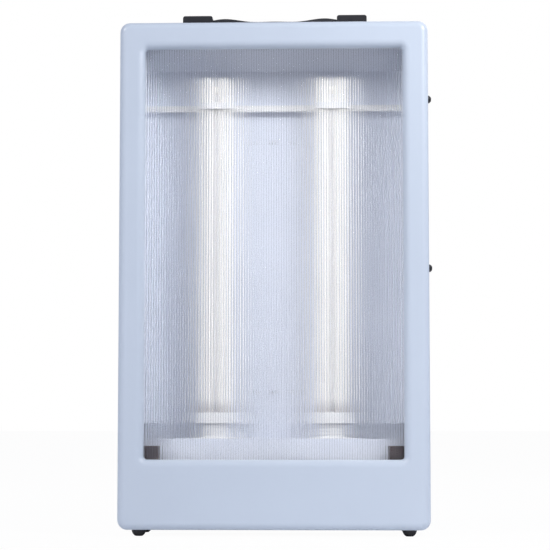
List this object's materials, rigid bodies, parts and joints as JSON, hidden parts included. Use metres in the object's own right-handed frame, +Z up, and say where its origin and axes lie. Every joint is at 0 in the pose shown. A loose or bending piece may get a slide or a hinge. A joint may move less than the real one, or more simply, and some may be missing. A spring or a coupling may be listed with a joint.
{
  "type": "light therapy lamp",
  "caption": "Free-standing light box: rolled white case, reeded clear panel over long twin-tube lamps, carry strap, rear mains inlet and rocker switch.",
  "frame": {"origin": "on the table, under the middle of the case", "axes": "+Z up, +X to the right of someone facing the window, the window faces -Y"},
  "size_m": [0.349, 0.11, 0.589],
  "materials": {
    "case_white": "smooth pale blue-white moulded plastic",
    "steel": "zinc-plated sheet",
    "reflector_white": "white reflecting paint",
    "lamp_plastic": "white moulded plastic",
    "lamp_glass": "white phosphor seen through clear glass",
    "clear_panel": "clear reeded acrylic",
    "black_rubber": "black rubber",
    "brown_rubber": "dark brown foam rubber",
    "brass": "bare",
    "screw_steel": "zinc-plated",
    "black_steel": "black oxide",
    "black_plastic": "black moulded",
    "strap_vinyl": "black grained vinyl",
    "fuse_glass": "glass tube fuse",
    "wire_brown": "PVC",
    "wire_blue": "PVC",
    "wire_green": "PVC",
    "wire_white": "PVC sleeve"
  },
  "bodies": {
    "case": {"ballast_case": "steel", "ballast_screws": "screw_steel", "ballast_terminals": "lamp_plastic", "bracket_screws": "screw_steel", "chassis": "steel", "diffuser_clip_screws": "screw_steel", "diffuser_clips": "screw_steel", "diffuser_corner_pads": "brown_rubber", "diffuser_gasket": "black_rubber", "diffuser_panel": "clear_panel", "earth_stud": "brass", "earth_wire": "wire_green", "foot_screws": "screw_steel", "front_housing": "case_white", "handle_backing_plates": "screw_steel", "handle_cap_left": "black_plastic", "handle_cap_right": "black_plastic", "handle_screws": "black_steel", "holder_bracket": "reflector_white", "holder_screws": "screw_steel", "inlet_blades": "brass", "lamp_cap_left": "lamp_plastic", "lamp_cap_right": "lamp_plastic", "lamp_clips": "lamp_plastic", "lamp_holder_left": "lamp_plastic", "lamp_holder_right": "lamp_plastic", "lamp_leads": "wire_white", "lamp_pins": "brass", "lamp_support_bar": "lamp_plastic", "lamp_tube_left": "lamp_glass", "lamp_tube_right": "lamp_glass", "live_wires": "wire_brown", "neutral_wires": "wire_blue", "power_inlet": "black_plastic", "rear_cover": "case_white", "rear_cover_screws": "screw_steel", "rear_standoffs": "screw_steel", "reflector": "reflector_white", "reflector_end_plate": "reflector_white", "reflector_rivets": "screw_steel", "rubber_feet": "black_rubber", "side_clinch_nuts": "screw_steel", "side_flush_screws": "screw_steel", "side_screws": "black_steel", "switch_frame": "black_plastic", "switch_tabs": "brass", "wire_grommets": "black_rubber"},
    "rocker": {"switch_rocker": "black_plastic"},
    "drawer": {"fuse_drawer": "black_plastic", "fuse": "fuse_glass"},
    "strap": {"handle_strap": "strap_vinyl"}
  },
  "joints": [
    {"name": "rocker_tilt", "type": "hinge", "parent": "case", "child": "rocker", "pos_m": [-0.057, 0.0465, 0.067], "axis": [1, 0, 0], "range_deg": [0, 14]},
    {"name": "fuse_drawer_slide", "type": "slide", "parent": "case", "child": "drawer", "axis": [0, 1, 0], "range_m": [0, 0.016]},
    {"name": "strap_lift", "type": "slide", "parent": "case", "child": "strap", "axis": [0, 0, 1], "range_m": [0, 0.0033]}
  ]
}
